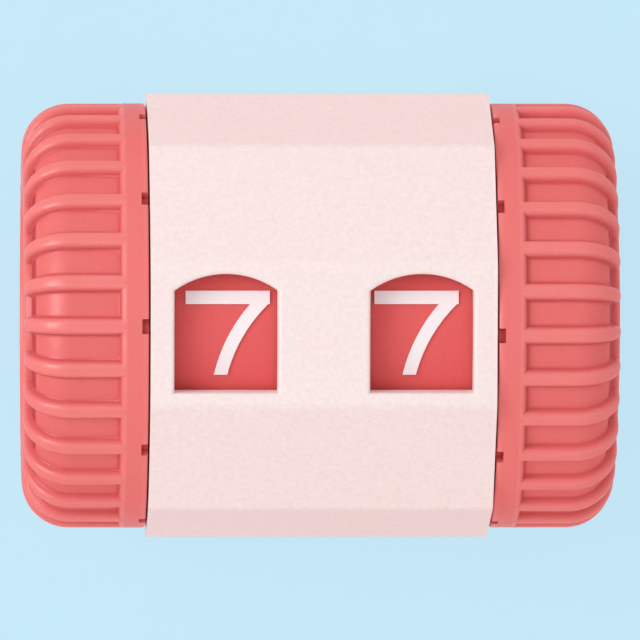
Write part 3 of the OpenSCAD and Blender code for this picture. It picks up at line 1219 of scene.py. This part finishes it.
    def _drum(self) -> bpy.types.Object:
        """Turn the number drum with the spigot that holds the knob.

        Returns:
            The finished piece.
        """
        drum = Turning()
        drum.to(self.drum_start, self.drum_bore).to(self.drum_start, self.drum_radius)
        drum.to(self.drum_start + self.rub_highlight_reach, self.drum_radius)
        drum.to(self.start - self.rub_highlight_reach, self.drum_radius)
        drum.to(self.start, self.drum_radius).to(self.start, self.spigot)
        drum.to(self.spigot_end, self.spigot).to(self.spigot_end, self.drum_bore)
        drum.turn(self.steps)
        rims = drum.rings((self.drum_start, self.drum_radius), (self.start, self.drum_radius))
        drum.soften(rims, self.drum_edge, self.edge_steps)
        drum.face_the_side(self.side)
        name, node = f"{self.side.word}_drum", f"{self.side.word}_number_drum"
        return drum.finish(name, self._body, DRUM_PLASTIC, node, "drum_plastic")

    def _numerals(self) -> bpy.types.Object:
        """Take over the raised numerals as one smooth piece.

        Returns:
            The finished piece.
        """
        numerals = Piece()
        name, node = f"{self.side.word}_numeral_print", f"{self.side.word}_numerals"
        numerals.bm.from_mesh(bpy.data.objects[node].data)
        bmesh.ops.remove_doubles(numerals.bm, verts=numerals.bm.verts[:], dist=NEAR)
        return numerals.finish(name, self._body, NUMERAL_PRINT, node, "numeral_print")


@dataclass
class EndFittings:
    """The core tube with its two snap collars. Sizes are in millimetres."""

    bore: float = 3.5
    mouth_width: float = 0.2
    mouth_steps: int = 4
    tube_radius: float = 4.3
    rim_width: float = 0.05
    rim_steps: int = 2
    end: float = 13.1
    collar_start: float = 12.6
    collar_bore: float = 4.32
    collar_radius: float = 5.7
    collar_edge: float = 0.1
    collar_steps: int = 3
    snap_half: float = 0.15
    snap_middle: float = 12.85
    snap_radius: float = 4.05
    bead_half: float = 0.13
    bead_radius: float = 4.07
    rub_highlight_reach: float = 0.35
    steps: int = 120

    def build(self) -> list[bpy.types.Object]:
        """Model the tube and collars and dress them.

        Returns:
            The finished pieces.
        """
        return [self._tube(), *(self._collar(side) for side in Side)]

    def _tube(self) -> bpy.types.Object:
        """Turn the tube with a snap groove near each end.

        Returns:
            The finished piece.
        """
        tube = Turning()
        tube.to(-self.end, self.bore).to(-self.end, self.tube_radius)
        for side in Side:
            middle = side.value * self.snap_middle
            low, high = middle - self.snap_half, middle + self.snap_half
            tube.to(low, self.tube_radius).to(low, self.snap_radius)
            tube.to(high, self.snap_radius).to(high, self.tube_radius)
        tube.to(self.end, self.tube_radius).to(self.end, self.bore)
        tube.to(self.end - self.rub_highlight_reach, self.bore).to(self.rub_highlight_reach - self.end, self.bore)
        tube.turn(self.steps)
        mouths = tube.rings((-self.end, self.bore), (self.end, self.bore))
        tube.soften(mouths, self.mouth_width, self.mouth_steps)
        rims = tube.rings((-self.end, self.tube_radius), (self.end, self.tube_radius))
        tube.soften(rims, self.rim_width, self.rim_steps)
        return tube.finish("needle_tube", "casing", INNER_PLASTIC, "core_tube", "inner_plastic")

    def _collar(self, side: Side) -> bpy.types.Object:
        """Turn one collar with the bead that snaps in the tube's groove.

        Args:
            side: End that the collar closes.

        Returns:
            The finished piece.
        """
        collar = Turning()
        low, high = self.snap_middle - self.bead_half, self.snap_middle + self.bead_half
        collar.to(self.collar_start, self.collar_bore).to(self.collar_start, self.collar_radius)
        collar.to(self.end, self.collar_radius).to(self.end, self.collar_radius - self.rub_highlight_reach)
        collar.to(self.end, self.collar_bore + self.rub_highlight_reach).to(self.end, self.collar_bore)
        collar.to(high, self.collar_bore).to(high, self.bead_radius)
        collar.to(low, self.bead_radius).to(low, self.collar_bore)
        collar.turn(self.steps)
        rims = collar.rings((self.end, self.collar_radius), (self.end, self.collar_bore))
        collar.soften(rims, self.collar_edge, self.collar_steps)
        collar.face_the_side(side)
        name, node = f"{side.word}_snap_collar", f"{side.word}_end_collar"
        return collar.finish(name, "casing", CASING_PLASTIC, node, "casing_plastic")


@dataclass
class InnerWorks:
    """Solids inside the counter that keep their own shape and only get a finish."""

    nodes: dict[str, bpy.types.Object]

    def build(self) -> list[bpy.types.Object]:
        """Give each solid its finish.

        Returns:
            The dressed solids.
        """
        finishes: dict[str, Finish] = {
            "centre_wall": INNER_PLASTIC,
            "click_spring_rivets": RIVET_BRASS,
        }
        for side in Side:
            finishes[f"{side.word}_click_spring"] = SPRING_STEEL
            finishes[f"{side.word}_washer"] = WASHER_PLASTIC
            finishes[f"{side.word}_index_disc"] = INNER_PLASTIC
        for name, finish in finishes.items():
            slots = self.nodes[name].data.materials
            slots.clear()
            slots.append(finish.material())
        return [self.nodes[name] for name in finishes]


@dataclass(frozen=True)
class Lamp:
    """A round soft lamp that looks at the counter. Sizes are in millimetres."""

    name: str
    share: float
    place: tuple[float, float, float]
    size: float
    distance: float = 420.0
    colour: Colour = (1.0, 1.0, 1.0)
    gleam_only: bool = False

    def build(self) -> None:
        """Hang the lamp, at a power that lights white paper to its share of white."""
        away = self.distance * MM
        light = bpy.data.lights.new(self.name, "AREA")
        light.shape = "DISK"
        light.size = self.size * MM
        light.color = self.colour
        light.energy = self.share * (math.pi * away) ** 2
        lamp = bpy.data.objects.new(self.name, light)
        towards = Vector(self.place).normalized()
        lamp.location = towards * away
        lamp.rotation_euler = towards.to_track_quat("Z", "Y").to_euler()
        lamp.visible_diffuse = not self.gleam_only
        bpy.context.scene.collection.objects.link(lamp)


@dataclass
class Studio:
    """Pale floor, soft light and the camera. Sizes are in millimetres, turns in degrees."""

    floor_height: float = -9.575
    floor_radius: float = 2000.0
    floor_steps: int = 96
    backdrop: Colour = linear(199, 235, 251)
    bounce: Colour = linear(248, 219, 214)
    daylight: Colour = (1.0, 1.0, 1.0)
    shadow: float = 0.16
    ambient: float = 0.77
    lamps: tuple[Lamp, ...] = (
        Lamp("key", 0.335, (-0.64, 0.27, 0.72), 280.0),
        Lamp("gleam", 4.0, (-0.74, 0.14, 0.67), 260.0, gleam_only=True),
        Lamp("fill", 0.085, (0.15, -0.97, 0.18), 220.0, colour=(1.0, 0.53, 0.43)),
    )
    lean: float = 5.5
    yaw: float = -2.05
    distance: float = 600.0
    view_width: float = 28.855
    aim: tuple[float, float] = (0.149, -0.205)
    sensor_width: float = 36.0
    clip_start: float = 10.0

    def build(self) -> None:
        """Make the floor, the light and the camera."""
        self._floor()
        self._world()
        for lamp in self.lamps:
            lamp.build()
        self._camera()

    def _floor(self) -> None:
        """Lay a round pale floor that keeps a faint shadow of the counter."""
        bm = bmesh.new()
        place = Matrix.Translation((0, 0, self.floor_height * MM))
        radius = self.floor_radius * MM
        bmesh.ops.create_circle(
            bm, cap_ends=True, segments=self.floor_steps, radius=radius, matrix=place
        )
        mesh = bpy.data.meshes.new("floor")
        bm.to_mesh(mesh)
        bm.free()
        floor = bpy.data.objects.new("floor", mesh)
        bpy.context.scene.collection.objects.link(floor)
        mesh.materials.append(self._paper())

    def _paper(self) -> bpy.types.Material:
        """The floor's paper, which shows as the background and throws a warm light on the counter.

        Returns:
            The material.
        """
        made = bpy.data.materials.new("floor_paper")
        made.use_nodes = True
        sheet = NodeSheet(made.node_tree)
        paper = sheet.add("ShaderNodeBsdfDiffuse", {"Color": self.backdrop}).outputs[0]
        glow = sheet.add("ShaderNodeEmission", {"Color": self.backdrop, "Strength": 1.0}).outputs[0]
        warm = sheet.add("ShaderNodeBsdfDiffuse", {"Color": self.bounce}).outputs[0]
        shown = sheet.mix_shaders(self.shadow, glow, paper)
        mixed = sheet.mix_shaders(self._seen(sheet), warm, shown)
        sheet.add("ShaderNodeOutputMaterial", {"Surface": mixed})
        return made

    @staticmethod
    def _seen(sheet: NodeSheet) -> bpy.types.NodeSocket:
        """Tell whether a ray shows the background: from the camera, mirrored or through glass.

        Args:
            sheet: The nodes to draw on.

        Returns:
            Socket that is 1 for such a ray.
        """
        rays = sheet.add("ShaderNodeLightPath").outputs
        mirrored = sheet.maths("MAXIMUM", rays["Is Glossy Ray"], rays["Is Transmission Ray"])
        return sheet.maths("MAXIMUM", rays["Is Camera Ray"], mirrored)

    def _world(self) -> None:
        """Light the counter evenly from all round, before a pale background."""
        world = bpy.data.worlds.new("studio")
        bpy.context.scene.world = world
        world.use_nodes = True
        sheet = NodeSheet(world.node_tree)
        shown = sheet.add("ShaderNodeBackground", {"Color": self.backdrop, "Strength": 1.0})
        lit = sheet.add("ShaderNodeBackground", {"Color": self.daylight, "Strength": self.ambient})
        mixed = sheet.mix_shaders(self._seen(sheet), lit.outputs[0], shown.outputs[0])
        sheet.add("ShaderNodeOutputWorld", {"Surface": mixed})

    def _camera(self) -> None:
        """Look down on the windows from the photograph's angle."""
        lens = bpy.data.cameras.new("camera")
        lens.sensor_width = self.sensor_width
        lens.lens = self.sensor_width * self.distance / self.view_width
        lens.clip_start = self.clip_start * MM
        camera = bpy.data.objects.new("camera", lens)
        leant = Matrix.Rotation(math.radians(-self.lean), 3, "X")
        turn = leant @ Matrix.Rotation(math.radians(self.yaw), 3, "Y")
        place = turn @ Vector((*self.aim, self.distance)) * MM
        camera.matrix_world = Matrix.Translation(place) @ turn.to_4x4()
        bpy.context.scene.collection.objects.link(camera)
        bpy.context.scene.camera = camera
        bpy.context.scene.view_settings.view_transform = "Standard"


def main() -> None:
    """Build every sub-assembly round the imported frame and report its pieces."""
    logging.basicConfig(level=logging.INFO, format="%(name)s: %(message)s")
    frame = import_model()
    left, right = Dial(Side.LEFT, twist=-2.5), Dial(Side.RIGHT)
    for assembly in (Casing(), left, right, EndFittings(), InnerWorks(frame["nodes"])):
        for piece in assembly.build():
            mesh = piece.data
            LOG.info("%s: %d faces, %s", piece.name, len(mesh.polygons), mesh.materials[0].name)
    Studio().build()
    bpy.context.view_layer.update()


if __name__ == "__main__":
    main()
